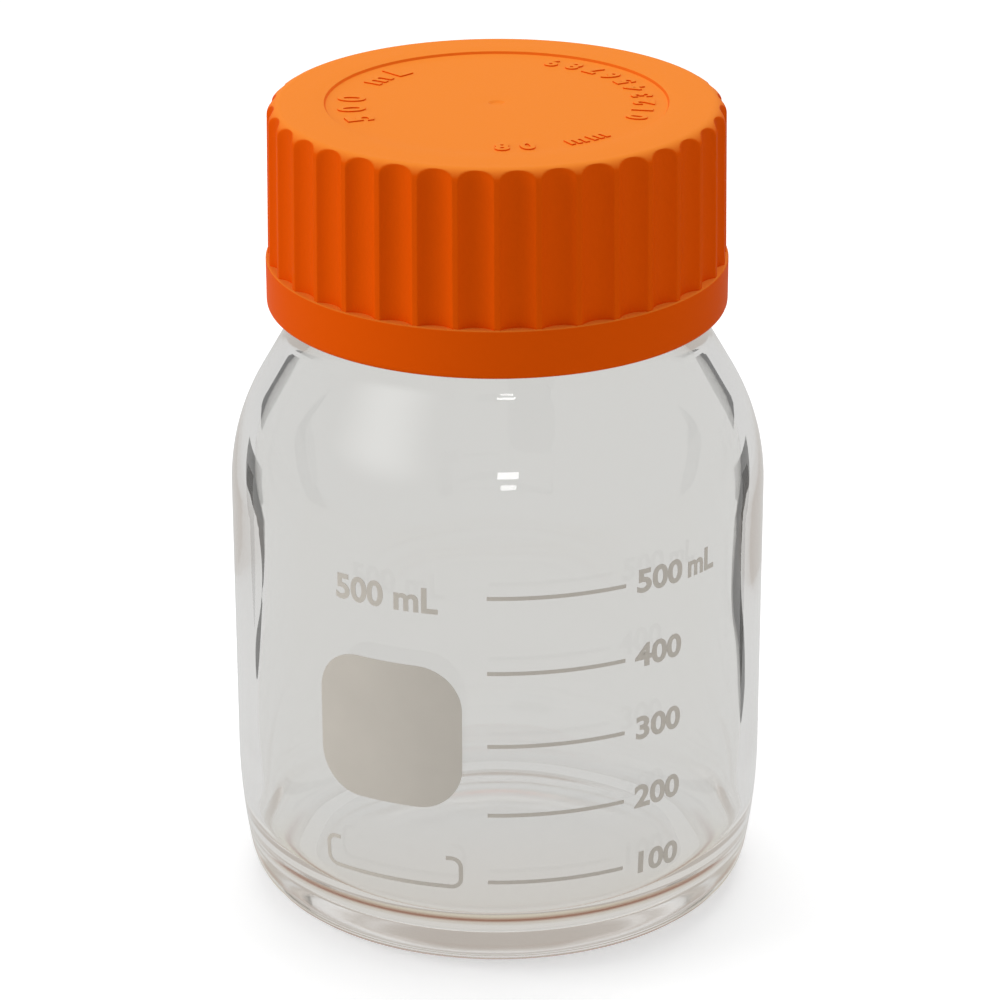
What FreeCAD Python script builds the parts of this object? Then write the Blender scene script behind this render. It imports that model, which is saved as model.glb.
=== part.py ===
import FreeCAD, Part
import math
import os

# Wide-mouth laboratory glass bottle, 500 mL, with a fluted one-piece screw cap.
# Millimetres. The origin is the centre of the foot ring, on the surface that the bottle
# stands on. +Z is up and -Y is the front, where the printed scale starts.

# Glass bottle
glass_height = 152.0
body_radius = 50.5
body_wall = 4.0
heel_radius = 8.0
heel_taper_radius = 110.0
heel_height = 27.0
foot_ring_width = 4.5
push_up = 1.8
floor_height = 5.5
floor_corner_radius = 12.0
shoulder_radius = 41.0
shoulder_slope = 30.0
neck_fillet = 10.0
neck_height = 35.7
mouth_radius = 35.0
neck_wall = 3.0
rim_bead_step = 0.4
rim_bead_height = 3.5
rim_outer_round = 1.2
rim_inner_round = 1.0

# Pouring ring, snapped over the rim bead
ring_clearance = 0.1
ring_wall = 0.8
ring_flange = 0.8
ring_snap_height = 0.7
ring_edge_round = 0.25

# Screw cap, one moulding with its plug seal
thread_depth = 1.6
thread_clearance = 0.35
cap_wall = 1.25
cap_plate = 2.4
cap_neck_gap = 0.3
cap_inner_fillet = 0.5
cap_top_round = 2.5
cap_draft = 0.4
flute_count = 36
flute_depth = 1.4
flute_land = 1.0
band_height = 9.3
band_step = 0.4
band_top_round = 0.3
band_foot_round = 1.2
skirt_lip_round = 0.3
disc_radius = 31.5
disc_depth = 0.4
gate_radius = 1.6
gate_depth = 0.3
plug_clearance = 0.4
plug_wall = 1.2
plug_length = 3.5
plug_lead = 0.3

# Print fired onto the glass, placed by its arc length from the front
print_thickness = 0.1
line_heights = [20.35, 34.25, 48.26, 62.87, 77.70]
line_start = -2.0
line_length = 26.0
line_width = 0.75
patch_centre = -20.9
patch_width = 28.6
patch_bottom = 35.0
patch_height = 28.5
patch_corner = 8.5
frame_centre = -20.6
frame_width = 28.0
frame_bottom = 18.7
frame_height = 6.8
frame_corner = 2.2
frame_line = 0.8
frame_end = 3.2

# Sizes that follow from the ones above
neck_radius = mouth_radius + neck_wall
bead_radius = neck_radius + rim_bead_step
inner_radius = body_radius - body_wall
ring_inner = bead_radius + ring_clearance
ring_outer = ring_inner + ring_wall
skirt_radius = neck_radius + thread_depth + thread_clearance
flute_floor = skirt_radius + cap_wall
crest_radius = flute_floor + flute_depth
band_radius = crest_radius + band_step
plate_bottom = glass_height + ring_flange
cap_top = plate_bottom + cap_plate
cap_bottom = glass_height - neck_height + cap_neck_gap
band_top = cap_bottom + band_height
plug_radius = mouth_radius - plug_clearance

# The shoulder leans in at its slope, or less where its two curves would meet first
shoulder_drop = min(body_radius - neck_radius, inner_radius - mouth_radius)
steepest = math.acos(1 - shoulder_drop / (shoulder_radius + neck_fillet))
lean_in = min(math.radians(shoulder_slope), steepest)
half_lean = math.tan(lean_in / 2)
cone_rise = (body_radius - neck_radius) / math.tan(lean_in)
wall_top = glass_height - neck_height - cone_rise - (shoulder_radius + neck_fillet) * half_lean

# The heel's tight curve runs into a long one that ends upright at the wall
heel_lean = math.asin((heel_height - heel_radius) / (heel_taper_radius - heel_radius))
heel_taper_corner = heel_height - heel_taper_radius * math.tan(heel_lean / 2)
heel_corner_radius = body_radius - heel_taper_corner * math.tan(heel_lean)
foot_outer = heel_corner_radius - heel_radius * math.tan((math.pi / 2 - heel_lean) / 2)
foot_inner = foot_outer - foot_ring_width


def vector(r, z):
    """A point of a half section, which lies in the XZ plane."""
    return FreeCAD.Vector(r, 0, z)


def rounded_wire(corners):
    """A closed wire through (r, z, rounding) corners, with an arc at each rounded one."""
    edges = []
    ends = []
    count = len(corners)
    for i, (r, z, rounding) in enumerate(corners):
        here = vector(r, z)
        before = (vector(*corners[i - 1][:2]) - here).normalize()
        after = (vector(*corners[(i + 1) % count][:2]) - here).normalize()
        if rounding == 0:
            ends.append((here, here))
            continue
        half = before.getAngle(after) / 2
        start = here + before * (rounding / math.tan(half))
        finish = here + after * (rounding / math.tan(half))
        inward = (before + after).normalize()
        middle = here + inward * (rounding / math.sin(half) - rounding)
        edges.append(Part.Arc(start, middle, finish).toShape())
        ends.append((start, finish))
    for i in range(count):
        leave = ends[i][1]
        arrive = ends[(i + 1) % count][0]
        if (arrive - leave).Length > 1e-6:
            edges.append(Part.LineSegment(leave, arrive).toShape())
    return Part.Wire(Part.__sortEdges__(edges))


def revolved(corners):
    """The solid that a half section sweeps in a full turn about the bottle's axis."""
    face = Part.Face(rounded_wire(corners))
    return face.revolve(vector(0, 0), FreeCAD.Vector(0, 0, 1), 360)


def outer_corners(skin):
    """The glass's outside from heel to neck, moved out by skin."""
    wall_radius = body_radius + skin
    taper = heel_taper_radius + skin
    shoulder = shoulder_radius + skin
    taper_corner = heel_height - taper * math.tan(heel_lean / 2)
    shoulder_corner = wall_top + shoulder * half_lean
    neck_corner = shoulder_corner + (body_radius - neck_radius) / math.tan(lean_in)
    heel_reach = (taper_corner + skin) * math.tan(heel_lean)
    return [
        (wall_radius - heel_reach, -skin, heel_radius + skin),
        (wall_radius, taper_corner, taper),
        (wall_radius, shoulder_corner, shoulder),
        (neck_radius + skin, neck_corner, neck_fillet - skin),
    ]


def inner_corners():
    """The glass's inside from mouth to floor, a wall's thickness in from the outside."""
    shoulder = shoulder_radius - body_wall
    shoulder_corner = wall_top + shoulder * half_lean
    neck_corner = shoulder_corner + (inner_radius - mouth_radius) / math.tan(lean_in)
    return [
        (mouth_radius, neck_corner, neck_fillet + neck_wall),
        (inner_radius, shoulder_corner, shoulder),
        (inner_radius, floor_height, floor_corner_radius),
        (0, floor_height, 0),
    ]


def make_bottle():
    """One blown glass solid: body, heel, pushed-up base, shoulder, neck and rim bead."""
    bead_bottom = glass_height - rim_bead_height
    rim = [
        (neck_radius, bead_bottom - rim_bead_step, 0),
        (bead_radius, bead_bottom, 0),
        (bead_radius, glass_height, rim_outer_round),
        (mouth_radius, glass_height, rim_inner_round),
    ]
    glass = revolved([(0, 0, 0)] + outer_corners(0) + rim + inner_corners())
    dome_radius = (foot_inner ** 2 + push_up ** 2) / (2 * push_up)
    dome = Part.makeSphere(dome_radius, vector(0, push_up - dome_radius))
    return glass.cut(dome)


def make_pouring_ring():
    """A thin collar that snaps under the rim bead, with a flange on the rim."""
    snap_radius = ring_inner - rim_bead_step
    snap_top = glass_height - rim_bead_height
    snap_bottom = snap_top - rim_bead_step - ring_snap_height
    return revolved([
        (mouth_radius, glass_height, 0),
        (ring_inner, glass_height, 0),
        (ring_inner, snap_top, 0),
        (snap_radius, snap_top - rim_bead_step, 0),
        (snap_radius, snap_bottom, 0),
        (ring_outer, snap_bottom, ring_edge_round),
        (ring_outer, plate_bottom, ring_edge_round),
        (mouth_radius, plate_bottom, ring_edge_round),
    ])


def make_cap_blank():
    """The cap before its flutes: plate, skirt, grip band and plug seal in one."""
    plug_inner = plug_radius - plug_wall
    plug_bottom = plate_bottom - plug_length
    disc_top = cap_top - disc_depth
    return revolved([
        (0, plate_bottom, 0),
        (plug_inner, plate_bottom, 0),
        (plug_inner, plug_bottom, 0),
        (plug_radius - plug_lead, plug_bottom, 0),
        (plug_radius, plug_bottom + plug_lead, 0),
        (plug_radius, plate_bottom, 0),
        (skirt_radius, plate_bottom, cap_inner_fillet),
        (skirt_radius, cap_bottom, skirt_lip_round),
        (band_radius, cap_bottom, band_foot_round),
        (band_radius, band_top, band_top_round),
        (crest_radius, band_top, 0),
        (crest_radius - cap_draft, cap_top, cap_top_round),
        (disc_radius, cap_top, 0),
        (disc_radius, disc_top, 0),
        (gate_radius, disc_top, 0),
        (0, disc_top - gate_depth, 0),
    ])


def make_cap():
    """The fluted cap: upright scallops from the grip band out through the top edge."""
    pitch = 2 * math.pi / flute_count
    half_flute = (pitch * crest_radius - flute_land) / 2
    sagitta = crest_radius * math.cos(half_flute / crest_radius) - flute_floor
    cutter_radius = (half_flute ** 2 + sagitta ** 2) / (2 * sagitta)
    cutter_centre = flute_floor + cutter_radius
    cutter_height = cap_top - band_top + cap_top_round
    cutters = []
    for i in range(flute_count):
        angle = (i + 0.5) * pitch - math.pi / 2
        foot = FreeCAD.Vector(cutter_centre * math.cos(angle), cutter_centre * math.sin(angle), band_top)
        cutters.append(Part.makeCylinder(cutter_radius, cutter_height, foot))
    return make_cap_blank().cut(cutters)


def print_skin():
    """A closed shell of the print's thickness, lying on the outside of the glass."""
    def envelope(skin):
        top = [(neck_radius + skin, glass_height, 0), (0, glass_height, 0)]
        return revolved([(0, -skin, 0)] + outer_corners(skin) + top)
    return envelope(print_thickness).cut(envelope(0))


def around(shape, arc):
    """A shape turned about the bottle's axis from the front by an arc length."""
    turned = shape.copy()
    turned.rotate(vector(0, 0), FreeCAD.Vector(0, 0, 1), math.degrees(arc / body_radius))
    return turned


def front_block(width, bottom, height, corner):
    """A block with rounded corners that runs out through the front wall."""
    chord = 2 * body_radius * math.sin(width / (2 * body_radius))
    top = bottom + height
    face = Part.Face(rounded_wire([
        (-chord / 2, bottom, corner),
        (chord / 2, bottom, corner),
        (chord / 2, top, corner),
        (-chord / 2, top, corner),
    ]))
    return face.extrude(FreeCAD.Vector(0, -body_radius - 2 * print_thickness, 0))


def make_graduation_lines(skin):
    """Five level lines, each a thin strip of the skin."""
    lines = []
    for height in line_heights:
        strip = front_block(line_length, height - line_width / 2, line_width, 0)
        lines.append(skin.common(around(strip, line_start + line_length / 2)).Solids[0])
    return Part.makeCompound(lines)


def make_writing_patch(skin):
    """The rounded square field for notes."""
    block = front_block(patch_width, patch_bottom, patch_height, patch_corner)
    return skin.common(around(block, patch_centre)).Solids[0]


def make_code_frame(skin):
    """A flat rounded frame whose top side is left open."""
    outer = front_block(frame_width, frame_bottom, frame_height, frame_corner)
    inner = front_block(
        frame_width - 2 * frame_line,
        frame_bottom + frame_line,
        frame_height - 2 * frame_line,
        frame_corner - frame_line,
    )
    gap = front_block(frame_width - 2 * frame_end, frame_bottom + frame_height / 2, frame_height, 0)
    outline = outer.cut([inner, gap])
    return skin.common(around(outline, frame_centre)).Solids[0]


def main():
    skin = print_skin()
    nodes = {
        "bottle": make_bottle(),
        "pouring_ring": make_pouring_ring(),
        "cap": make_cap(),
        "graduation_lines": make_graduation_lines(skin),
        "writing_patch": make_writing_patch(skin),
        "code_frame": make_code_frame(skin),
    }
    os.makedirs("parts", exist_ok=True)
    for name, shape in nodes.items():
        shape.exportStep(f"parts/{name}.step")
        box = shape.BoundBox
        print(name, len(shape.Solids), "solids", round(shape.Volume), "mm3", shape.isValid(),
              "x", round(box.XMin, 2), round(box.XMax, 2), "y", round(box.YMin, 2), round(box.YMax, 2),
              "z", round(box.ZMin, 2), round(box.ZMax, 2))


main()
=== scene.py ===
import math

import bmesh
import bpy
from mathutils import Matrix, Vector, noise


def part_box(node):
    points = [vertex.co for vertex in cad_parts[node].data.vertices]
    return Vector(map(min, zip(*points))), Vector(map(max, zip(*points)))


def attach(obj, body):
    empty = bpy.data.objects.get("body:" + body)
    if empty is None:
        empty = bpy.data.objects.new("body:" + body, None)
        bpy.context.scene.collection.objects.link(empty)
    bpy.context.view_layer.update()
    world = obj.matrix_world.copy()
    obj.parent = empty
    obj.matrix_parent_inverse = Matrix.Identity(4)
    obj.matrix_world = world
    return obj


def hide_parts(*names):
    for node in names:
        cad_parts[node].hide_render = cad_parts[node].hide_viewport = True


bl_info = {
    "name": "Wide-mouth glass bottle",
    "version": (1, 0, 0),
    "blender": (4, 5, 0),
    "location": "View3D > Sidebar > Bottle",
    "description": "Glass, screw cap, pouring ring and fired print of a 500 mL laboratory bottle",
    "category": "Add Mesh",
}

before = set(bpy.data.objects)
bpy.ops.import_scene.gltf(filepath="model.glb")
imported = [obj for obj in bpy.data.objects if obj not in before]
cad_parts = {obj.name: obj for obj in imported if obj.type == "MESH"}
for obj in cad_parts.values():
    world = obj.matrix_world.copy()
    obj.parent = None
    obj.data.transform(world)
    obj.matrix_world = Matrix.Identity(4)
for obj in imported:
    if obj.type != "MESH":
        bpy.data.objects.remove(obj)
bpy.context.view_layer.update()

MM = 0.001
BOTTLE_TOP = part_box("bottle")[1]
RING_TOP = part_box("pouring_ring")[1]
CAP_LOW, CAP_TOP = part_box("cap")
IMAGE_SIZE = 1000


def length(name, description, default):
    """A size in metres that a user can change."""
    return bpy.props.FloatProperty(
        name=name, description=description, default=default, unit="LENGTH", precision=5)


def angle(name, description, degrees):
    """An angle that a user can change."""
    return bpy.props.FloatProperty(
        name=name, description=description, default=math.radians(degrees), subtype="ANGLE")


def share(name, description, default):
    """A plain number from 0 to 1 that a user can change."""
    return bpy.props.FloatProperty(
        name=name, description=description, default=default, min=0, max=1)


def colour(name, description, default):
    """A colour, in linear light, that a user can change."""
    return bpy.props.FloatVectorProperty(
        name=name, description=description, default=default, subtype="COLOR", min=0, max=1)


class GlassSettings(bpy.types.PropertyGroup):
    """Sizes and tint of the blown glass."""
    body_radius: length("Body radius", "Outside of the straight wall", BOTTLE_TOP.x)
    rim_height: length("Rim height", "From the foot to the rim", BOTTLE_TOP.z)
    wall: length("Wall", "Thickness of the body", 4.0 * MM)
    heel_radius: length("Heel radius", "Tight curve at the foot", 8 * MM)
    heel_taper: length("Heel taper", "Long curve from the heel to the wall", 110 * MM)
    heel_height: length("Heel height", "Where the straight wall starts", 27 * MM)
    foot_width: length("Foot ring", "Width of the ring that it stands on", 4.5 * MM)
    push_up: length("Push-up", "Rise of the base's middle", 1.8 * MM)
    floor: length("Floor", "Height of the inner floor", 5.5 * MM)
    floor_corner: length("Floor corner", "Curve from the floor to the inner wall", 12 * MM)
    shoulder: length("Shoulder radius", "Curve over the shoulder", 41 * MM)
    slope: angle("Shoulder slope", "Lean of the cone under the neck", 30)
    neck_fillet: length("Neck fillet", "Hollow curve into the neck", 10 * MM)
    neck_height: length("Neck height", "Straight neck up to the rim", 35.7 * MM)
    mouth: length("Mouth radius", "Inside of the neck", 35 * MM)
    neck_wall: length("Neck wall", "Thickness of the neck", 3 * MM)
    bead_step: length("Bead step", "How far the rim bead stands out", 0.4 * MM)
    bead_height: length("Bead height", "Height of the rim bead", 3.5 * MM)
    swell: length("Swell", "How much thicker the blown wall is halfway up", 0.85 * MM)
    swell_middle: length("Swell middle", "Height where the wall is thickest", 60 * MM)
    swell_reach: length("Swell reach", "How far up and down the swell fades", 33 * MM)
    waviness: length("Waviness", "Unevenness of the inner wall", 0.14 * MM)
    base_waviness: length("Base waviness", "Unevenness of the floor and the base", 0.07 * MM)
    tint: colour("Tint", "Colour of the glass", (0.955, 0.952, 0.940))
    depths: colour("Depths", "Light from paths too long to be followed", (0.240, 0.218, 0.198))


class ThreadSettings(bpy.types.PropertyGroup):
    """The quick thread between the neck and the cap."""
    starts: bpy.props.IntProperty(name="Starts", description="Ridges side by side", default=4)
    lead: length("Lead", "Rise of a ridge in one full turn", 16 * MM)
    reach: angle("Reach", "How far round one ridge runs", 150)
    foot: length("Foot", "Height where the neck's ridges begin", 125.5 * MM)
    depth: length("Depth", "How far a ridge stands out", 1.5 * MM)
    crest: length("Crest", "Width of a ridge's top", 0.8 * MM)
    flank: length("Flank", "Width of a ridge's side", 1.1 * MM)


class CapSettings(bpy.types.PropertyGroup):
    """Sizes and colours of the screw cap and its pouring ring."""
    top: length("Top", "Height of the cap's top", CAP_TOP.z)
    foot: length("Foot", "Height of the skirt's lower edge", CAP_LOW.z)
    band_radius: length("Band radius", "Outside of the plain band", CAP_TOP.x)
    band_height: length("Band height", "Height of the plain band", 9.3 * MM)
    band_step: length("Band step", "Ledge over the band", 0.4 * MM)
    band_round: length("Band rounding", "Upper edge of the band", 0.3 * MM)
    foot_round: length("Foot rounding", "Lower edge of the band", 1.2 * MM)
    draft: length("Draft", "How much narrower the grip is at its top", 0.4 * MM)
    top_round: length("Top rounding", "Curve from the grip over to the top", 2.5 * MM)
    wall: length("Wall", "Skirt behind a flute", 1.25 * MM)
    plate: length("Plate", "Thickness of the top", 2.4 * MM)
    flutes: bpy.props.IntProperty(name="Flutes", description="Flutes round the grip", default=36)
    flute_depth: length("Flute depth", "Depth of a flute", 1.4 * MM)
    flute_land: length("Flute land", "Ridge left between two flutes", 1.0 * MM)
    flute_soft: length("Flute softness", "Rounding of the flute's edges", 0.07 * MM)
    disc_radius: length("Disc radius", "Sunk disc on the top", 31.5 * MM)
    disc_depth: length("Disc depth", "Depth of the sunk disc", 0.5 * MM)
    gate_radius: length("Gate radius", "Moulding mark in the middle", 1.6 * MM)
    gate_depth: length("Gate depth", "Depth of the moulding mark", 0.3 * MM)
    plug_gap: length("Plug gap", "Play of the plug seal in the mouth", 0.4 * MM)
    plug_wall: length("Plug wall", "Thickness of the plug seal", 1.2 * MM)
    plug_length: length("Plug length", "Length of the plug seal", 3.5 * MM)
    ring_wall: length("Ring wall", "Thickness of the pouring ring", 0.8 * MM)
    mark_height: length("Mark height", "Raised letters on the disc", 5.0 * MM)
    mark_radius: length("Mark radius", "Middle line of the raised letters", 26.9 * MM)
    mark_relief: length("Mark relief", "How far the letters stand up", 0.24 * MM)
    side_colour: colour("Side colour", "Orange of the grip", (0.82, 0.096, 0.0008))
    # Painted light: the top's lighter orange, with a faint painted sheen in it, stands for the light
    # from above.
    top_colour: colour("Top colour", "Lighter orange of the matt top", (0.87, 0.245, 0.030))


class PrintSettings(bpy.types.PropertyGroup):
    """Sizes and colour of the fired print. Places are arc lengths from the front."""
    thickness: length("Thickness", "Height of the print on the glass", 0.06 * MM)
    lift: length("Lift", "Sliver between the print and the glass", 0.02 * MM)
    line_start: length("Line start", "Left end of the volume lines", -2.0 * MM)
    line_length: length("Line length", "Length of the volume lines", 26.0 * MM)
    line_width: length("Line width", "Width of the volume lines", 0.75 * MM)
    number_start: length("Number start", "Left end of the numbers", 26.2 * MM)
    number_height: length("Number height", "Height of the numbers", 4.5 * MM)
    number_rise: length("Number rise", "Middle of the numbers over their lines", 0.4 * MM)
    number_stretch: bpy.props.FloatProperty(
        name="Number stretch", description="Width of the numbers", default=1.13)
    unit_start: length("Unit start", "Left end of the unit", 38.0 * MM)
    unit_stretch: bpy.props.FloatProperty(
        name="Unit stretch", description="Width of the unit", default=0.92)
    boldness: length("Boldness", "How much the letters' strokes are thickened", 0.19 * MM)
    title_start: length("Title start", "Left end of the capacity", -31.4 * MM)
    title_base: length("Title base", "Foot of the capacity", 74.3 * MM)
    title_height: length("Title height", "Height of the capacity", 4.9 * MM)
    patch_middle: length("Patch middle", "Middle of the writing patch", -20.9 * MM)
    patch_width: length("Patch width", "Width of the writing patch", 28.6 * MM)
    patch_foot: length("Patch foot", "Lower edge of the writing patch", 35.0 * MM)
    patch_height: length("Patch height", "Height of the writing patch", 28.5 * MM)
    patch_corner: length("Patch corner", "Corner of the writing patch", 8.5 * MM)
    frame_middle: length("Frame middle", "Middle of the open frame", -20.6 * MM)
    frame_width: length("Frame width", "Width of the open frame", 28.0 * MM)
    frame_foot: length("Frame foot", "Lower edge of the open frame", 18.7 * MM)
    frame_height: length("Frame height", "Height of the open frame", 6.8 * MM)
    frame_corner: length("Frame corner", "Corner of the open frame", 2.2 * MM)
    frame_line: length("Frame line", "Line of the open frame", 0.8 * MM)
    frame_end: length("Frame end", "Stub at each open end", 3.2 * MM)
    colour: colour("Print colour", "Pale grey of the print", (0.635, 0.592, 0.525))


class StageSettings(bpy.types.PropertyGroup):
    """Camera, floor, backdrop and what the glass mirrors."""
    camera_distance: length("Camera distance", "Ahead of the bottle's axis", 717.2 * MM)
    camera_height: length("Camera height", "Above the floor", 375.1 * MM)
    camera_side: length("Camera side", "Right of the bottle's axis", 0.42 * MM)
    camera_pitch: angle("Camera pitch", "Downward tilt", 22.65)
    camera_roll: angle("Camera roll", "Turn about the view line", -0.15)
    focal_pixels: bpy.props.FloatProperty(
        name="Focal length", description="In pixels of the square image", default=4075.8)
    floor_colour: colour("Floor colour", "Pale floor", (0.76, 0.76, 0.76))
    floor_glow: share("Floor glow", "Light that whitens the floor for the camera alone", 0.48)
    world_strength: share("World strength", "Even light from all round", 0.40)
    backdrop_strength: share("Backdrop strength", "Brightness of what the glass shows", 0.70)
    # The dark strips and upright cards are painted shade: only glass shows them, as dark streaks
    # along its edges.
    card_across: length("Card across", "Tip of each dark strip, to the side", 48.8 * MM)
    card_along: length("Card along", "Tip of each dark strip, behind the axis", -13 * MM)
    card_turn: angle("Card turn", "Direction of each dark strip", 42)
    mirror_turn: angle("Mirror turn", "Direction of the strips that the surface mirrors", 49)
    left_card: length("Left card", "Where the left dark strip starts from its tip", 120 * MM)
    right_card: length("Right card", "Where the right dark strip starts from its tip", 88 * MM)
    upright_distance: length("Upright distance", "Dark upright cards behind the bottle", 0.9)
    upright_turn: angle("Upright turn", "How far each upright card is to the side", 41)
    upright_width: length("Upright width", "Width of each upright card", 0.18)
    glow_place: bpy.props.FloatVectorProperty(
        name="Glow place", description="Middle of the soft glow that the glass mirrors",
        default=(-0.777, -0.442, 0.619), subtype="XYZ", unit="LENGTH")
    glow_reach: length("Glow reach", "From the middle of the glow to its edge", 0.55)
    glow_strength: bpy.props.FloatProperty(
        name="Glow strength", description="Brightness of the glow's middle", default=3.1)


# Columns of one flute, as shares of its pitch from its middle: close together at the ridge.
FLUTE_COLUMNS = (
    -0.5, -0.450, -0.438, -0.423, -0.385, -0.32, -0.235, -0.125,
    0.0, 0.125, 0.235, 0.32, 0.385, 0.423, 0.438, 0.450)
# Light round the foot as the glass shows it: share of the radius below, and colour.
FOOT_GLOW = (
    (0.0, (1, 0.97, 0.94)),
    (0.50, (0.98, 0.95, 0.91)),
    (0.530, (0.90, 0.82, 0.72)),
    (0.553, (0.36, 0.09, 0.02)),
    (0.576, (0.90, 0.82, 0.66)),
    (0.620, (0.92, 0.88, 0.76)),
    (0.640, (0.60, 0.36, 0.22)),
    (0.660, (0.92, 0.88, 0.74)),
    (0.700, (0.98, 0.97, 0.90)),
    (1.0, (1, 0.985, 0.95)),
)
GLOW_RADIUS = 80 * MM
# That light fades out from this far in front of the axis to as far behind it.
GLOW_FADE = 15 * MM
# How the floor looks through glass, before the backdrop's light is added.
THROUGH_FLOOR = (0.06, 0.06, 0.055, 1)
# How much each direction counts in the soft glow's reach: it is half as high as it is wide.
SOFT_GLOW_SHAPE = (1, 1, 2)
# Half a side of the glow's card, as a share of the glow's reach.
GLOW_CARD = 1.2
# Outline of a dark strip of painted shade, first from its near end and then from its tip: distance,
# and the angle between its sides in degrees.
STRIP_END = ((0, 1.5), (30 * MM, 12))
STRIP_REST = ((185 * MM, 13), (200 * MM, 20), (400 * MM, 20))
STRIP_LIFT = 1 * MM
# Share of that angle where the glass's surface mirrors the strip.
MIRRORED_SHARE = 0.4
UPRIGHT_HEIGHT = 1.6
UPRIGHT_LIFT = 10 * MM
# Soft lamps: name, place, width and height, watts, and whether the glass mirrors them.
LAMPS = (
    ("left_softbox", (-0.85, -0.15, 0.45), (0.5, 0.7), 3.4, False),
    ("right_softbox", (0.9, -0.25, 0.35), (0.4, 0.6), 0.7, False),
    ("top_softbox", (0.05, 0.25, 0.95), (0.7, 0.7), 4.6, False),
    ("window", (0.076, -0.894, 0.626), (0.157, 0.061), 0.3, True),
    ("low_window", (0.078, -0.944, 0.530), (0.115, 0.048), 0.15, True),
)
LAMP_TARGET = (0, 0, 0.08)
# Limits for how often a ray is mirrored: at all, and so often that the renderer drops it.
FIRST_MIRRORING = 0.5
LAST_MIRRORING = 3.5
# Cells of the unevenness of the inner wall and of the base, and the stretch over which it fades.
WALL_CELL = (18 * MM, 18 * MM, 30 * MM)
WALL_FADE = 10 * MM
BASE_CELL = (7 * MM, 11 * MM, 2 * MM)
BASE_FADE = 6 * MM
# How far over the straight wall the inner wall is still uneven.
WAVE_REACH = 11 * MM
STIPPLE_ROUGHNESS = 0.1
# Turn over which a thread's ridge rises from the wall at each end, in degrees.
THREAD_FADE = 14
# Height of a capital as a share of the font's size.
CAPITAL_SHARE = 0.73
# Volume lines in millilitres and their heights.
LINE_HEIGHTS = (
    (100, 20.35 * MM), (200, 34.25 * MM), (300, 48.26 * MM), (400, 62.87 * MM), (500, 77.70 * MM))


def rounded_outline(corners, step, closed=False):
    """Points through (across, up, rounding) corners, with an arc at each rounded one.

    Arcs and straight runs are cut into pieces that are at most a step long.
    """
    count = len(corners)
    runs = []
    for i, (across, up, rounding) in enumerate(corners):
        here = Vector((across, up))
        if rounding == 0:
            runs.append([here])
            continue
        before = (Vector(corners[i - 1][:2]) - here).normalized()
        after = (Vector(corners[(i + 1) % count][:2]) - here).normalized()
        half = before.angle(after) / 2
        centre = here + (before + after).normalized() * (rounding / math.sin(half))
        spoke = here + before * (rounding / math.tan(half)) - centre
        sweep = math.copysign(math.pi - 2 * half, after.cross(before))
        pieces = math.ceil(max(abs(sweep) * rounding / step, abs(sweep) / math.radians(15)))
        turns = [sweep * k / pieces for k in range(pieces + 1)]
        runs.append([centre + Matrix.Rotation(turn, 2) @ spoke for turn in turns])
    points = []
    for i, run in enumerate(runs):
        points += run
        if i == count - 1 and not closed:
            break
        gap = runs[(i + 1) % count][0] - run[-1]
        pieces = math.ceil(gap.length / step - 1e-6)
        points += [run[-1] + gap * k / pieces for k in range(1, pieces)]
    kept = [points[0]]
    for point in points[1:]:
        if (point - kept[-1]).length > 1e-7:
            kept.append(point)
    return kept


def section(runs):
    """Points of a half section, from runs of corners with the step that each is cut into.

    Each run starts at the corner where the one before it ends.
    """
    points = []
    for corners, step in runs:
        points = points[:-1] + rounded_outline(corners, step)
    return points


def spun(points, steps):
    """The closed mesh that a half section, from axis to axis, sweeps in a full turn.

    One twelfth is spun and then copied round, because a long spin is slow.
    """
    sectors = 12
    bm = bmesh.new()
    verts = [bm.verts.new((point.x, 0, point.y)) for point in points]
    for a, b in zip(verts, verts[1:]):
        bm.edges.new((a, b))
    bmesh.ops.spin(
        bm, geom=bm.verts[:] + bm.edges[:], cent=(0, 0, 0), axis=(0, 0, 1),
        angle=2 * math.pi / sectors, steps=steps // sectors, use_merge=False)
    sector = bm.verts[:] + bm.edges[:] + bm.faces[:]
    for k in range(1, sectors):
        made = bmesh.ops.duplicate(bm, geom=sector)["geom"]
        copied = [v for v in made if isinstance(v, bmesh.types.BMVert)]
        turn = Matrix.Rotation(2 * math.pi * k / sectors, 3, "Z")
        bmesh.ops.rotate(bm, verts=copied, cent=(0, 0, 0), matrix=turn)
    bmesh.ops.remove_doubles(bm, verts=bm.verts[:], dist=1e-6)
    bmesh.ops.recalc_face_normals(bm, faces=bm.faces[:])
    return bm


def add_piece(bm, name, material, body, replaces=()):
    """Turns a bmesh into a smooth piece with its materials that rides on a body."""
    mesh = bpy.data.meshes.new(name)
    bm.to_mesh(mesh)
    bm.free()
    mesh.shade_smooth()
    mesh.set_sharp_from_angle(angle=math.radians(50))
    for each in material if isinstance(material, tuple) else (material,):
        mesh.materials.append(each)
    piece = bpy.data.objects.new(name, mesh)
    bpy.context.scene.collection.objects.link(piece)
    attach(piece, body)
    if replaces:
        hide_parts(*replaces)
    return piece


def smooth_share(value):
    """An even S-curve from 0 to 1."""
    value = min(max(value, 0), 1)
    return value * value * (3 - 2 * value)


def soft_least(a, b, soft):
    """The smaller of two lengths, blended where they are within soft of each other."""
    near = max(soft - abs(a - b), 0) / soft
    return min(a, b) - near * near * soft / 4


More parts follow.
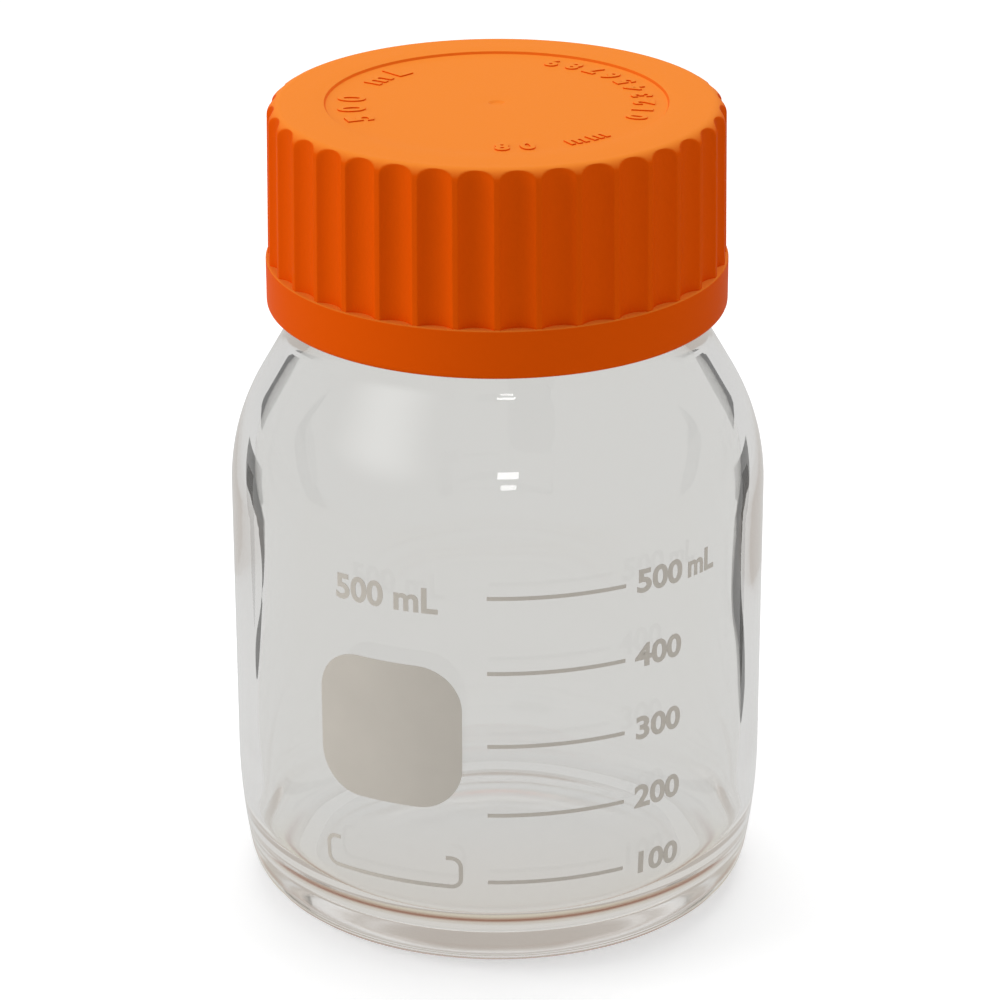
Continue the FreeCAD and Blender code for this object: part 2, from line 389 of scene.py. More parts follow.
class GlassShape:
    """Sizes of the glass that follow from its settings."""

    def __init__(self, s):
        self.s = s
        self.neck_radius = s.mouth + s.neck_wall
        self.inner_radius = s.body_radius - s.wall
        self.half_slope = math.tan(s.slope / 2)
        cone = (s.body_radius - self.neck_radius) / math.tan(s.slope)
        self.wall_top = (
            s.rim_height - s.neck_height - cone - (s.shoulder + s.neck_fillet) * self.half_slope)
        lean = math.asin((s.heel_height - s.heel_radius) / (s.heel_taper - s.heel_radius))
        self.taper_corner = s.heel_height - s.heel_taper * math.tan(lean / 2)
        self.heel_corner = s.body_radius - self.taper_corner * math.tan(lean)
        foot_outer = self.heel_corner - s.heel_radius * math.tan((math.pi / 2 - lean) / 2)
        self.foot_inner = foot_outer - s.foot_width

    def outside(self):
        """Corners from the heel to the top of the neck's hollow curve."""
        s = self.s
        shoulder_corner = self.wall_top + s.shoulder * self.half_slope
        neck_corner = shoulder_corner + (s.body_radius - self.neck_radius) / math.tan(s.slope)
        return [
            (self.foot_inner, 0, 0),
            (self.heel_corner, 0, s.heel_radius),
            (s.body_radius, self.taper_corner, s.heel_taper),
            (s.body_radius, shoulder_corner, s.shoulder),
            (self.neck_radius, neck_corner, s.neck_fillet),
            (self.neck_radius, s.rim_height - s.neck_height, 0),
        ]

    def neck(self, start):
        """Corners of the neck above a height, its rim bead and the rim."""
        s = self.s
        bead_foot = s.rim_height - s.bead_height
        return [
            (self.neck_radius, start, 0),
            (self.neck_radius, bead_foot - s.bead_step, 0),
            (self.neck_radius + s.bead_step, bead_foot, 0),
            (self.neck_radius + s.bead_step, s.rim_height, 1.2 * MM),
            (s.mouth, s.rim_height, 1.0 * MM),
            (s.mouth, s.rim_height - s.bead_height, 0),
        ]

    def inside(self):
        """Corners from the mouth down to the middle of the floor."""
        s = self.s
        shoulder = s.shoulder - s.wall
        shoulder_corner = self.wall_top + shoulder * self.half_slope
        neck_corner = shoulder_corner + (self.inner_radius - s.mouth) / math.tan(s.slope)
        return [
            (s.mouth, s.rim_height - s.bead_height, 0),
            (s.mouth, neck_corner, s.neck_fillet + s.neck_wall),
            (self.inner_radius, shoulder_corner, shoulder),
            (self.inner_radius, s.floor, s.floor_corner),
            (0, s.floor, 0),
        ]

    def base(self):
        """Points of the pushed-up base, from its middle to the foot ring."""
        dome = (self.foot_inner ** 2 + self.s.push_up ** 2) / (2 * self.s.push_up)
        reach = math.asin(self.foot_inner / dome)
        count = 16
        turns = [reach * k / count for k in range(count)]
        return [
            Vector((dome * math.sin(turn), self.s.push_up - dome * (1 - math.cos(turn))))
            for turn in turns]

    def radius_at(self, height):
        """Outside radius of the heel's long curve or of the straight wall."""
        s = self.s
        below = max(s.heel_height - height, 0)
        return s.body_radius - s.heel_taper + math.sqrt(s.heel_taper ** 2 - below ** 2)


def thread_span(thread, drop):
    """Lowest and highest place that the ridges reach."""
    spare = thread.crest / 2 + thread.flank
    foot = thread.foot - drop
    return foot - spare, foot + thread.lead * thread.reach / (2 * math.pi) + spare


def thread_share(thread, turn, height, drop):
    """How much of a ridge stands at a turn about the axis and a height, from 0 to 1."""
    best = 0
    for start in range(thread.starts):
        along = (turn - start * 2 * math.pi / thread.starts) % (2 * math.pi)
        if along > thread.reach:
            continue
        middle = thread.foot - drop + thread.lead * along / (2 * math.pi)
        off = abs(height - middle) - thread.crest / 2
        fade = math.radians(THREAD_FADE)
        ends = smooth_share(along / fade) * smooth_share((thread.reach - along) / fade)
        best = max(best, smooth_share(1 - off / thread.flank) * ends)
    return best


def make_glass(scene):
    """The blown glass, with the quick thread on its neck and a slightly uneven inner wall."""
    s = scene.bottle_glass
    thread = scene.bottle_thread
    shape = GlassShape(s)
    neck_foot = s.rim_height - s.neck_height
    thread_foot, thread_top = thread_span(thread, 0)
    bm = spun(shape.base() + section([
        (shape.outside(), 1.7 * MM),
        ([(shape.neck_radius, neck_foot, 0), (shape.neck_radius, thread_foot, 0)], 1 * MM),
        ([(shape.neck_radius, thread_foot, 0), (shape.neck_radius, thread_top, 0)], 0.22 * MM),
        (shape.neck(thread_top), 1 * MM),
        (shape.inside(), 2 * MM)]), 240)
    wave_top = shape.wall_top + WAVE_REACH
    for vert in bm.verts:
        x, y, z = vert.co
        radius = math.hypot(x, y)
        if abs(radius - shape.neck_radius) < 1e-6 and z > neck_foot:
            grown = radius + thread.depth * thread_share(thread, math.atan2(y, x), z, 0)
            vert.co.x *= grown / radius
            vert.co.y *= grown / radius
        elif s.floor + 1e-6 < z < wave_top and radius < shape.radius_at(z) - s.wall / 2:
            sample = Vector([along / cell for along, cell in zip((x, y, z), WALL_CELL)])
            ends = smooth_share((z - s.floor) / WALL_FADE) * smooth_share((wave_top - z) / WALL_FADE)
            moved = radius - s.swell * smooth_share(1 - abs(z - s.swell_middle) / s.swell_reach)
            moved += s.waviness * noise.noise(sample) * ends
            vert.co.x *= moved / radius
            vert.co.y *= moved / radius
        elif z < s.floor + 1e-6 and radius < shape.foot_inner - 1e-6:
            sample = Vector([along / cell for along, cell in zip((x, y, z), BASE_CELL)])
            ends = smooth_share((shape.foot_inner - radius) / BASE_FADE)
            vert.co.z += s.base_waviness * noise.noise(sample) * ends
    bm.normal_update()
    for face in bm.faces:
        if face.calc_center_median().z < s.push_up + 0.1 * MM and face.normal.z < -0.9:
            face.material_index = 1
    materials = (
        glass_material(s, "clear_glass", 0),
        glass_material(s, "stippled_glass", STIPPLE_ROUGHNESS))
    add_piece(bm, "blown_glass", materials, "glassware", ["bottle"])


def flute_radius(s, share_off, floor, crest):
    """Radius of a flute's hollow at a share of its pitch from its middle."""
    pitch = 2 * math.pi / s.flutes
    half = (pitch * crest - s.flute_land) / 2
    sagitta = crest * math.cos(half / crest) - floor
    scoop = (half ** 2 + sagitta ** 2) / (2 * sagitta)
    centre = floor + scoop
    off = share_off * pitch
    inside = max(scoop ** 2 - (centre * math.sin(off)) ** 2, 0)
    return centre * math.cos(off) - math.sqrt(inside)


def cap_outline(s, glass, thread_foot, thread_top):
    """Points of the cap's half section, from the top's middle round to the plate's underside."""
    crest = s.band_radius - s.band_step
    skirt = crest - s.flute_depth - s.wall
    band_top = s.foot + s.band_height
    disc_top = s.top - s.disc_depth
    plate_foot = s.top - s.plate
    plug = glass.mouth - s.plug_gap
    edge_start = crest - s.draft - 1.02 * s.top_round
    edge_end = s.top - 1.02 * s.top_round
    return section([
        ([(0, disc_top - s.gate_depth, 0),
          (s.gate_radius * 0.6, disc_top - s.gate_depth, 0.3 * MM),
          (s.gate_radius, disc_top, 0.25 * MM),
          (s.disc_radius - 0.15 * MM, disc_top, 0.15 * MM),
          (s.disc_radius + 0.15 * MM, s.top, 0.15 * MM),
          (edge_start, s.top, 0)], 4 * MM),
        ([(edge_start, s.top, 0),
          (crest - s.draft, s.top, s.top_round),
          (crest - s.draft, edge_end, 0)], 0.17 * MM),
        ([(crest - s.draft, edge_end, 0),
          (crest, band_top, 0.12 * MM),
          (s.band_radius, band_top, s.band_round),
          (s.band_radius, s.foot, s.foot_round),
          (skirt, s.foot, 0.3 * MM),
          (skirt, s.foot + 1 * MM, 0)], 2.6 * MM),
        ([(skirt, s.foot + 1 * MM, 0), (skirt, thread_foot, 0)], 4 * MM),
        ([(skirt, thread_foot, 0), (skirt, thread_top, 0)], 0.35 * MM),
        ([(skirt, thread_top, 0),
          (skirt, plate_foot, 0.5 * MM),
          (plug, plate_foot, 0),
          (plug, plate_foot - s.plug_length, 0.3 * MM),
          (plug - s.plug_wall, plate_foot - s.plug_length, 0.3 * MM),
          (plug - s.plug_wall, plate_foot, 0),
          (0, plate_foot, 0)], 4 * MM)])


def make_cap(scene):
    """The fluted cap with its plug seal, its thread and a plain band, as one moulding."""
    s = scene.bottle_cap
    thread = scene.bottle_thread
    crest = s.band_radius - s.band_step
    floor = crest - s.flute_depth
    skirt = floor - s.wall
    band_top = s.foot + s.band_height
    columns = len(FLUTE_COLUMNS)
    lean = s.draft / (s.top - band_top)
    pitch = 2 * math.pi / s.flutes
    scoops = [flute_radius(s, off, floor, crest) for off in FLUTE_COLUMNS]
    drop = thread.lead / thread.starts / 2
    outline = cap_outline(s, scene.bottle_glass, *thread_span(thread, drop))
    bm = spun(outline, s.flutes * columns)
    for vert in bm.verts:
        x, y, z = vert.co
        radius = math.hypot(x, y)
        if radius < 1e-6:
            continue
        column = round(math.atan2(y, x) % (2 * math.pi) * columns / pitch)
        turn = pitch * (column // columns + FLUTE_COLUMNS[column % columns] + 0.5)
        on_ledge = z < band_top + 1e-6 and radius > crest
        if radius > floor - s.draft - s.flute_soft and z > band_top - 1e-6 and not on_ledge:
            scoop = scoops[column % columns] - lean * (z - band_top)
            radius = min(radius, soft_least(radius, scoop, s.flute_soft))
        elif abs(radius - skirt) < 1e-6:
            radius -= thread.depth * thread_share(thread, turn, z, drop)
        vert.co.x = radius * math.cos(turn)
        vert.co.y = radius * math.sin(turn)
    add_piece(bm, "screw_cap", cap_material(s), "closure", ["cap"])


def make_pouring_ring(scene):
    """The thin collar under the cap, snapped over the rim bead."""
    s = scene.bottle_cap
    glass = scene.bottle_glass
    bead = glass.mouth + glass.neck_wall + glass.bead_step
    inner = bead + 0.1 * MM
    outer = inner + s.ring_wall
    snap = inner - glass.bead_step
    snap_top = glass.rim_height - glass.bead_height
    snap_foot = snap_top - glass.bead_step - 0.7 * MM
    corners = [
        (glass.mouth, glass.rim_height, 0),
        (inner, glass.rim_height, 0),
        (inner, snap_top, 0),
        (snap, snap_top - glass.bead_step, 0.1 * MM),
        (snap, snap_foot, 0.1 * MM),
        (outer, snap_foot, 0.25 * MM),
        (outer, RING_TOP.z, 0.25 * MM),
        (glass.mouth, RING_TOP.z, 0.25 * MM),
    ]
    points = rounded_outline(corners, 1 * MM, closed=True)
    bm = bmesh.new()
    verts = [bm.verts.new((point.x, 0, point.y)) for point in points]
    edges = [bm.edges.new((verts[i - 1], verts[i])) for i in range(len(verts))]
    bmesh.ops.spin(
        bm, geom=verts + edges, cent=(0, 0, 0), axis=(0, 0, 1),
        angle=2 * math.pi, steps=180, use_merge=True)
    bmesh.ops.recalc_face_normals(bm, faces=bm.faces[:])
    add_piece(bm, "rim_collar", cap_material(s), "glassware", ["pouring_ring"])


def letters(text, height, boldness, relief, bevel=0.0, stretch=1.0):
    """A closed flat mesh of a text, its capitals as tall as height, in the XY plane."""
    curve = bpy.data.curves.new("letters", "FONT")
    curve.body = text
    curve.size = height / CAPITAL_SHARE
    curve.offset = boldness
    curve.extrude = relief / 2
    curve.bevel_depth = bevel
    curve.resolution_u = 6
    holder = bpy.data.objects.new("letters", curve)
    bpy.context.scene.collection.objects.link(holder)
    bpy.context.view_layer.update()
    depsgraph = bpy.context.evaluated_depsgraph_get()
    mesh = bpy.data.meshes.new_from_object(holder.evaluated_get(depsgraph))
    bm = bmesh.new()
    bm.from_mesh(mesh)
    bmesh.ops.remove_doubles(bm, verts=bm.verts[:], dist=1e-7)
    bmesh.ops.translate(bm, verts=bm.verts[:], vec=(0, 0, relief / 2))
    bmesh.ops.scale(bm, verts=bm.verts[:], vec=(stretch, 1, 1))
    bpy.data.objects.remove(holder)
    bpy.data.curves.remove(curve)
    bpy.data.meshes.remove(mesh)
    return bm


def plate(corners, relief, step):
    """A closed flat mesh with rounded corners, in the XY plane."""
    bm = bmesh.new()
    verts = [bm.verts.new((p.x, p.y, 0)) for p in rounded_outline(corners, step, closed=True)]
    face = bm.faces.new(verts)
    made = bmesh.ops.extrude_face_region(bm, geom=[face])
    raised = [v for v in made["geom"] if isinstance(v, bmesh.types.BMVert)]
    bmesh.ops.translate(bm, verts=raised, vec=(0, 0, relief))
    bmesh.ops.recalc_face_normals(bm, faces=bm.faces[:])
    return bm


def wrapped(bm, shape, lift, start, foot):
    """Bends a flat mesh round the glass, its origin at an arc length and a height."""
    bmesh.ops.triangulate(bm, faces=bm.faces[:])
    low = min(v.co.x for v in bm.verts)
    high = max(v.co.x for v in bm.verts)
    strip = 1.0 * MM
    for k in range(1, math.ceil((high - low) / strip)):
        bmesh.ops.bisect_plane(
            bm, geom=bm.verts[:] + bm.edges[:] + bm.faces[:],
            plane_co=(low + k * strip, 0, 0), plane_no=(1, 0, 0), dist=1e-7)
    for vert in bm.verts:
        turn = (vert.co.x + start) / shape.s.body_radius
        height = vert.co.y + foot
        radius = shape.radius_at(height) + lift + vert.co.z
        vert.co = (radius * math.sin(turn), -radius * math.cos(turn), height)
    return bm


def joined(parts):
    """One bmesh from several, which are freed."""
    whole = bmesh.new()
    for bm in parts:
        mesh = bpy.data.meshes.new("part")
        bm.to_mesh(mesh)
        bm.free()
        whole.from_mesh(mesh)
        bpy.data.meshes.remove(mesh)
    return whole


def rectangle(left, low, right, high, corner):
    """Corners of an upright rectangle, each rounded alike."""
    return [(left, low, corner), (right, low, corner), (right, high, corner), (left, high, corner)]


def make_print(scene):
    """The volume lines and numbers, the capacity, the writing patch and the open frame."""
    s = scene.bottle_print
    shape = GlassShape(scene.bottle_glass)
    material = print_material(s)

    def printed(corners, start, foot):
        return wrapped(plate(corners, s.thickness, 1 * MM), shape, s.lift, start, foot)

    half = s.line_width / 2
    lines = []
    words = []
    for volume, height in LINE_HEIGHTS:
        lines.append(printed(rectangle(0, -half, s.line_length, half, 0), s.line_start, height))
        foot = height - s.number_height / 2 + s.number_rise
        words.append((str(volume), s.number_height, s.number_stretch, s.number_start, foot))
    words.append(("mL", s.number_height, s.unit_stretch, s.unit_start, foot))
    words.append(("500 mL", s.title_height, 1, s.title_start, s.title_base))
    numbers = []
    for word, height, stretch, start, foot in words:
        bm = letters(word, height, s.boldness, s.thickness, stretch=stretch)
        numbers.append(wrapped(bm, shape, s.lift, start, foot))
    half = s.patch_width / 2
    patch = rectangle(-half, 0, half, s.patch_height, s.patch_corner)
    half = s.frame_width / 2
    inner = half - s.frame_line
    top = s.frame_height
    low_top = top - s.frame_line
    tight = s.frame_corner - s.frame_line
    border = [
        (-half + s.frame_end, top, 0), (-half, top, s.frame_corner), (-half, 0, s.frame_corner),
        (half, 0, s.frame_corner), (half, top, s.frame_corner), (half - s.frame_end, top, 0),
        (half - s.frame_end, low_top, 0), (inner, low_top, tight), (inner, s.frame_line, tight),
        (-inner, s.frame_line, tight), (-inner, low_top, tight), (-half + s.frame_end, low_top, 0)]
    for bm, name, replaces in (
            (joined(lines), "scale_lines", ["graduation_lines"]),
            (joined(numbers), "scale_numbers", ()),
            (printed(patch, s.patch_middle, s.patch_foot), "note_field", ["writing_patch"]),
            (printed(border, s.frame_middle, s.frame_foot), "open_frame", ["code_frame"])):
        add_piece(bm, name, material, "glassware", replaces)


def make_marks(scene):
    """Raised generic letters round the sunk disc of the cap."""
    s = scene.bottle_cap
    foot = s.top - s.disc_depth - 0.05 * MM
    parts = []

    def arc(text, first, last, outward, height):
        turns = [first + (last - first) * k / (len(text) - 1) for k in range(len(text))]
        for letter, turn in zip(text, turns):
            if letter == " ":
                continue
            bm = letters(letter, height, 0.14 * MM, s.mark_relief, 0.08 * MM)
            xs = [v.co.x for v in bm.verts]
            centre = Vector(((min(xs) + max(xs)) / 2, height / 2, 0))
            bmesh.ops.translate(bm, verts=bm.verts[:], vec=-centre)
            turn = math.radians(turn)
            facing = turn + (-math.pi / 2 if outward else math.pi / 2)
            bmesh.ops.rotate(bm, verts=bm.verts[:], matrix=Matrix.Rotation(facing, 3, "Z"))
            spot = Vector((math.cos(turn), math.sin(turn), 0)) * s.mark_radius
            bmesh.ops.translate(bm, verts=bm.verts[:], vec=spot + Vector((0, 0, foot)))
            parts.append(bm)

    arc("500 mL", 202, 134, True, s.mark_height)
    arc("80 mm  0123456789", -88, 67, False, s.mark_height * 0.76)
    add_piece(joined(parts), "cap_marks", cap_material(s), "closure")


def new_material(name):
    """An empty material, its node tree and its Principled shader."""
    material = bpy.data.materials.new(name)
    material.use_nodes = True
    return material, material.node_tree, material.node_tree.nodes["Principled BSDF"]


def set_inputs(tree, node, inputs):
    """Sets inputs of a node to plain values, or links them to outputs of other nodes."""
    for name, value in inputs.items():
        if isinstance(value, bpy.types.NodeSocket):
            tree.links.new(value, node.inputs[name])
        else:
            node.inputs[name].default_value = value


def add_node(tree, kind, output, inputs, **settings):
    """Adds a node with its settings and inputs, and gives one of its outputs."""
    made = tree.nodes.new("ShaderNode" + kind)
    for name, value in settings.items():
        setattr(made, name, value)
    set_inputs(tree, made, inputs)
    return made.outputs[output]


def math_node(tree, operation, *values):
    """The result of arithmetic on sockets and plain numbers."""
    return add_node(tree, "Math", "Value", dict(enumerate(values)), operation=operation)


def vector_node(tree, operation, *values):
    """The result of arithmetic on vector sockets and plain vectors."""
    output = "Value" if operation == "LENGTH" else "Vector"
    return add_node(tree, "VectorMath", output, dict(enumerate(values)), operation=operation)


def ray_share(tree, *kinds):
    """1 for rays of any of these kinds, else 0."""
    path = tree.nodes.new("ShaderNodeLightPath")
    found = path.outputs[kinds[0]]
    for kind in kinds[1:]:
        found = math_node(tree, "MAXIMUM", found, path.outputs[kind])
    return found


def mirrored_more(tree, limit):
    """1 for rays that have been mirrored more often than a limit, else 0."""
    return math_node(tree, "GREATER_THAN", add_node(tree, "LightPath", "Glossy Depth", {}), limit)


def noise_node(tree, scale, detail):
    """Grey noise on object coordinates, with scale in cells a metre."""
    place = add_node(tree, "TexCoord", "Object", {})
    return add_node(tree, "TexNoise", "Fac", {"Vector": place, "Scale": scale, "Detail": detail})


def range_node(tree, source, low, high, start=0, end=1, curve="LINEAR"):
    """Turns what runs from start to end into what runs from low to high."""
    return add_node(tree, "MapRange", "Result", {
        "Value": source, "From Min": start, "From Max": end, "To Min": low, "To Max": high,
    }, interpolation_type=curve)


def mix_colours(tree, amount, low, high):
    """A colour that runs from low to high with an amount."""
    return add_node(
        tree, "Mix", "Result", {"Factor": amount, "A": low, "B": high}, data_type="RGBA")


def glass_material(s, name, roughness):
    """Clear glass with a faint tint.

    The renderer drops a ray after a few mirrorings, which leaves the thick base black. There the
    glass gives the light that the ray would have found.
    """
    material, tree, shader = new_material(name)
    set_inputs(tree, shader, {
        "Base Color": (*s.tint, 1),
        "Transmission Weight": 1,
        "Roughness": roughness,
        "IOR": 1.473,
        "Emission Color": (*s.depths, 1),
        "Emission Strength": mirrored_more(tree, LAST_MIRRORING),
    })
    material.cycles.emission_sampling = "NONE"
    return material


def cap_material(s):
    """Satin orange plastic, matt on the flat top, which is painted a lighter orange with a faint
    sheen: painted light from above.
    """
    material, tree, shader = new_material("orange_plastic")
    facing = add_node(tree, "TexCoord", "Normal", {})
    upward = add_node(tree, "SeparateXYZ", "Z", {"Vector": facing})
    # Painted light: faces that look up get the lighter top colour.
    flat = range_node(tree, upward, 0, 1, 0.35, 0.98)
    grain = noise_node(tree, 2600, 3)
    set_inputs(tree, shader, {
        "Base Color": mix_colours(tree, flat, (*s.side_colour, 1), (*s.top_colour, 1)),
        "Specular IOR Level": 0.01,
        "Roughness": range_node(tree, grain, 0.36, 0.5),
        "Normal": add_node(tree, "Bump", "Normal", {"Height": grain, "Distance": 0.02 * MM}),
    })
    return material


def print_material(s):
    """Pale fired print, faintly uneven."""
    material, tree, shader = new_material("fired_print")
    dark = [c * 0.95 for c in s.colour]
    light = [min(c * 1.05, 1) for c in s.colour]
    grain = noise_node(tree, 5000, 2)
    set_inputs(tree, shader, {
        "Base Color": mix_colours(tree, noise_node(tree, 120, 3), (*dark, 1), (*light, 1)),
        "Roughness": range_node(tree, grain, 0.45, 0.65),
        "Normal": add_node(tree, "Bump", "Normal", {"Height": grain, "Distance": 0.008 * MM}),
    })
    return material


def foot_glow(tree, place):
    """The rings of light on the floor round the foot, as the glass shows them."""
    rings = tree.nodes.new("ShaderNodeValToRGB")
    stops = rings.color_ramp.elements
    stops[0].color = (*FOOT_GLOW[0][1], 1)
    stops[1].color = (*FOOT_GLOW[-1][1], 1)
    for reach, shade in FOOT_GLOW[1:-1]:
        stops.new(reach).color = (*shade, 1)
    far = vector_node(tree, "LENGTH", place)
    set_inputs(tree, rings, {"Fac": range_node(tree, far, 0, 1, 0, GLOW_RADIUS)})
    return rings.outputs["Color"]


def floor_material(s):
    """A white floor that keeps a soft shadow, and is an even grey where glass shows it.

    Close round the foot the glass also shows the rusty light that falls through the cap.
    """
    material, tree, shader = new_material("pale_floor")
    through = ray_share(tree, "Is Transmission Ray", "Is Glossy Ray")
    place = add_node(tree, "TexCoord", "Object", {})
    behind = add_node(tree, "SeparateXYZ", "Y", {"Vector": place})
    front = range_node(tree, behind, 0, 1, GLOW_FADE, -GLOW_FADE)
    tinted = math_node(tree, "MULTIPLY", through, front)
    seen = range_node(tree, ray_share(tree, "Is Camera Ray"), 0, s.floor_glow)
    added = s.backdrop_strength - THROUGH_FLOOR[0]
    set_inputs(tree, shader, {
        "Base Color": mix_colours(tree, through, (*s.floor_colour, 1), THROUGH_FLOOR),
        "Roughness": 0.9,
        "Specular IOR Level": 0,
        "Emission Color": mix_colours(tree, tinted, (1, 1, 1, 1), foot_glow(tree, place)),
        "Emission Strength": math_node(tree, "MULTIPLY_ADD", through, added, seen),
    })
    return material


def card_material():
    """Painted shade: black card shown where the glass wall mirrors it, not straight through the
    bottle.
    """
    material, tree, shader = new_material("painted_shade_card")
    set_inputs(tree, shader, {
        "Base Color": (0.03, 0.03, 0.028, 1),
        "Roughness": 0.9,
        "Alpha": mirrored_more(tree, FIRST_MIRRORING),
    })
    return material


def glow_material(s):
    """A soft white glow that fades into the backdrop's grey."""
    material, tree, shader = new_material("soft_glow")
    place = add_node(tree, "TexCoord", "Object", {})
    off = vector_node(tree, "SUBTRACT", place, s.glow_place)
    reach = vector_node(tree, "LENGTH", vector_node(tree, "MULTIPLY", off, SOFT_GLOW_SHAPE))
    set_inputs(tree, shader, {
        "Base Color": (0, 0, 0, 1),
        "Specular IOR Level": 0,
        "Emission Color": (1, 1, 1, 1),
        "Emission Strength": range_node(
            tree, reach, s.glow_strength, s.backdrop_strength, 0, s.glow_reach, "SMOOTHSTEP"),
    })
    material.cycles.emission_sampling = "NONE"
    return material


def add_lamp(name, place, size, watts, mirrored):
    """A soft lamp that faces the bottle, and shows in the glass only where it is mirrored."""
    lamp = bpy.data.lights.new(name, "AREA")
    lamp.shape = "RECTANGLE"
    lamp.size, lamp.size_y = size
    lamp.energy = watts
    holder = bpy.data.objects.new(name, lamp)
    holder.location = place
    aim = Vector(LAMP_TARGET) - Vector(place)
    holder.rotation_euler = aim.to_track_quat("-Z", "Y").to_euler()
    holder.visible_glossy = mirrored
    holder.visible_transmission = False
    bpy.context.scene.collection.objects.link(holder)


def add_stage_piece(bm, name, material, seen_by=None):
    """Links a bmesh into the scene as an object, seen by every ray or by one kind of ray alone."""
    mesh = bpy.data.meshes.new(name)
    bm.to_mesh(mesh)
    bm.free()
    mesh.materials.append(material)
    piece = bpy.data.objects.new(name, mesh)
    if seen_by:
        for kind in ("camera", "diffuse", "glossy", "transmission", "shadow"):
            setattr(piece, "visible_" + kind, kind == seen_by)
    bpy.context.scene.collection.objects.link(piece)


def sheet(size):
    """A flat square mesh, with size from its middle to each side."""
    bm = bmesh.new()
    bmesh.ops.create_grid(bm, x_segments=1, y_segments=1, size=size)
    return bm


def add_strip(side, near, s, material, mirrored=False):
    """A black strip of painted shade that lies behind the bottle and to one side.

    Glass shows one kind from within its wall. The other it mirrors on its surface. Only glass shows
    them.
    """
    middle = s.mirror_turn if mirrored else s.card_turn
    width = MIRRORED_SHARE if mirrored else 1
    outline = [(near + reach, spread) for reach, spread in STRIP_END] + list(STRIP_REST)
    bm = bmesh.new()
    edges = []
    for half in (-0.5, 0.5):
        edge = []
        for reach, spread in outline:
            turn = middle + half * math.radians(spread) * width
            edge.append((
                side * (s.card_across + reach * math.sin(turn)),
                s.card_along + reach * math.cos(turn), STRIP_LIFT))
        edges.append(edge)
    bm.faces.new([bm.verts.new(corner) for corner in edges[0] + edges[1][::-1]])
    bmesh.ops.recalc_face_normals(bm, faces=bm.faces[:])
    name = "left_shade_strip" if side < 0 else "right_shade_strip"
    if mirrored:
        add_stage_piece(bm, "mirrored_" + name, material, "glossy")
    else:
        add_stage_piece(bm, name, material, "transmission")


def add_upright(side, s, material):
    """A black card of painted shade that stands far behind the bottle and to one side."""
    size = Matrix.Diagonal((s.upright_width, UPRIGHT_HEIGHT, 1, 1))
    place = Matrix.Translation((0, s.upright_distance, UPRIGHT_HEIGHT / 2 + UPRIGHT_LIFT))
    turn = Matrix.Rotation(-side * s.upright_turn, 4, "Z")
    bm = sheet(0.5)
    bm.transform(turn @ place @ Matrix.Rotation(math.pi / 2, 4, "X") @ size)
    add_stage_piece(bm, "left_shade_upright" if side < 0 else "right_shade_upright", material, "transmission")


def add_glow(s):
    """The soft light to the left as the glass mirrors it: it lights nothing."""
    place = Vector(s.glow_place)
    bm = sheet(GLOW_CARD * s.glow_reach)
    bm.transform(Matrix.Translation(place) @ place.to_track_quat("Z", "Y").to_matrix().to_4x4())
    add_stage_piece(bm, "soft_glow", glow_material(s), "glossy")


def make_world(s):
    """Even light from all round, and the backdrop's grey where glass shows it."""
    world = bpy.data.worlds.new("studio")
    world.use_nodes = True
    tree = world.node_tree
    through = ray_share(tree, "Is Transmission Ray", "Is Glossy Ray")
    set_inputs(tree, tree.nodes["Background"], {
        "Color": (1, 1, 1, 1),
        "Strength": range_node(tree, through, s.world_strength, s.backdrop_strength),
    })
    return world


def make_camera(s):
    """The camera at the photographed angle."""
    camera = bpy.data.cameras.new("camera")
    camera.sensor_width = 36
    camera.lens = s.focal_pixels * camera.sensor_width / IMAGE_SIZE
    camera.clip_start = 0.05
    camera.clip_end = 20
    holder = bpy.data.objects.new("camera", camera)
    tilt = Matrix.Rotation(math.pi / 2 - s.camera_pitch, 4, "X")
    roll = Matrix.Rotation(s.camera_roll, 4, "Z")
    place = Matrix.Translation((s.camera_side, -s.camera_distance, s.camera_height))
    holder.matrix_world = place @ tilt @ roll
    return holder


def make_stage(scene):
    """Floor, cards of painted shade, world, lamps and camera."""
    s = scene.bottle_stage
    add_stage_piece(sheet(4), "floor", floor_material(s))
    dark = card_material()
    # Dark strips and upright cards that only glass shows: painted shade for its dark edge streaks.
    for side, near in ((-1, s.left_card), (1, s.right_card)):
        add_strip(side, near, s, dark)
        add_strip(side, near, s, dark, mirrored=True)
        add_upright(side, s, dark)
    add_glow(s)
    scene.world = make_world(s)
    for lamp in LAMPS:
        add_lamp(*lamp)
    scene.camera = make_camera(s)
    scene.collection.objects.link(scene.camera)
    scene.view_settings.view_transform = "Standard"


class BOTTLE_OT_glass(bpy.types.Operator):
    """Make the blown glass with its threaded neck"""
    bl_idname = "bottle.glass"
    bl_label = "Blown glass"

    def execute(self, context):
        make_glass(context.scene)
        return {"FINISHED"}


class BOTTLE_OT_pouring_ring(bpy.types.Operator):
    """Make the pouring ring on the rim"""
    bl_idname = "bottle.pouring_ring"
    bl_label = "Pouring ring"

    def execute(self, context):
        make_pouring_ring(context.scene)
        return {"FINISHED"}


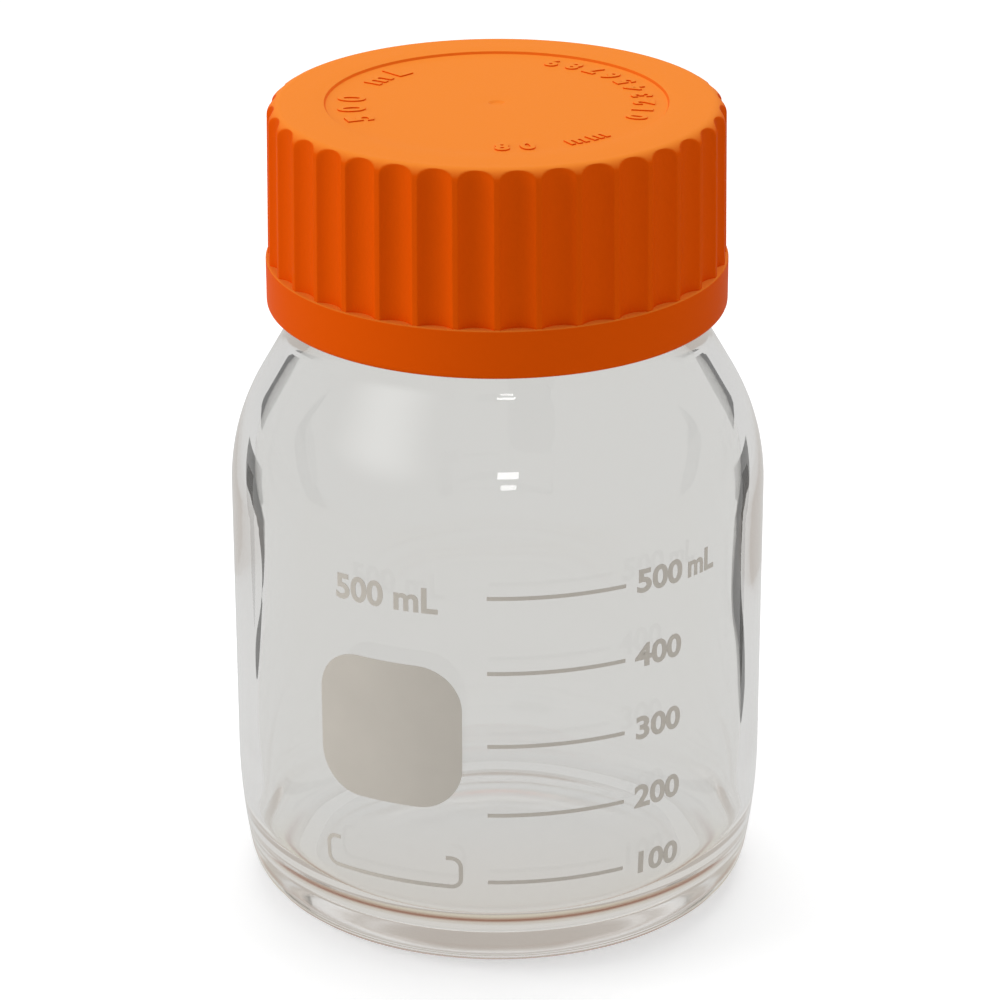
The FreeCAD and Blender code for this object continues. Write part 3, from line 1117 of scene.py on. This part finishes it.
class BOTTLE_OT_cap(bpy.types.Operator):
    """Make the fluted screw cap and the raised marks on it"""
    bl_idname = "bottle.cap"
    bl_label = "Screw cap"

    def execute(self, context):
        make_cap(context.scene)
        make_marks(context.scene)
        return {"FINISHED"}


class BOTTLE_OT_print(bpy.types.Operator):
    """Make the fired print: lines, numbers, patch and frame"""
    bl_idname = "bottle.print"
    bl_label = "Fired print"

    def execute(self, context):
        make_print(context.scene)
        return {"FINISHED"}


class BOTTLE_OT_stage(bpy.types.Operator):
    """Make the floor, the cards of painted shade, the lamps and the camera"""
    bl_idname = "bottle.stage"
    bl_label = "Stage"

    def execute(self, context):
        make_stage(context.scene)
        return {"FINISHED"}


class BOTTLE_PT_panel(bpy.types.Panel):
    """Lists the steps that make the bottle"""
    bl_label = "Wide-mouth bottle"
    bl_idname = "BOTTLE_PT_panel"
    bl_space_type = "VIEW_3D"
    bl_region_type = "UI"
    bl_category = "Bottle"

    def draw(self, context):
        for step in STEPS:
            self.layout.operator(step.bl_idname)
        for owner in SETTINGS:
            group = getattr(context.scene, owner)
            box = self.layout.box()
            box.label(text=type(group).__doc__)
            for name in type(group).__annotations__:
                box.prop(group, name)


SETTINGS = {
    "bottle_glass": GlassSettings,
    "bottle_thread": ThreadSettings,
    "bottle_cap": CapSettings,
    "bottle_print": PrintSettings,
    "bottle_stage": StageSettings,
}
STEPS = [BOTTLE_OT_glass, BOTTLE_OT_pouring_ring, BOTTLE_OT_cap, BOTTLE_OT_print, BOTTLE_OT_stage]


def register():
    for group in SETTINGS.values():
        bpy.utils.register_class(group)
    for owner, group in SETTINGS.items():
        setattr(bpy.types.Scene, owner, bpy.props.PointerProperty(type=group))
    for step in STEPS:
        bpy.utils.register_class(step)
    bpy.utils.register_class(BOTTLE_PT_panel)


def unregister():
    bpy.utils.unregister_class(BOTTLE_PT_panel)
    for step in reversed(STEPS):
        bpy.utils.unregister_class(step)
    for owner, group in SETTINGS.items():
        delattr(bpy.types.Scene, owner)
        bpy.utils.unregister_class(group)


def main():
    register()
    bpy.ops.bottle.glass()
    bpy.ops.bottle.pouring_ring()
    bpy.ops.bottle.cap()
    bpy.ops.bottle.print()
    bpy.ops.bottle.stage()


if __name__ == "__main__":
    main()
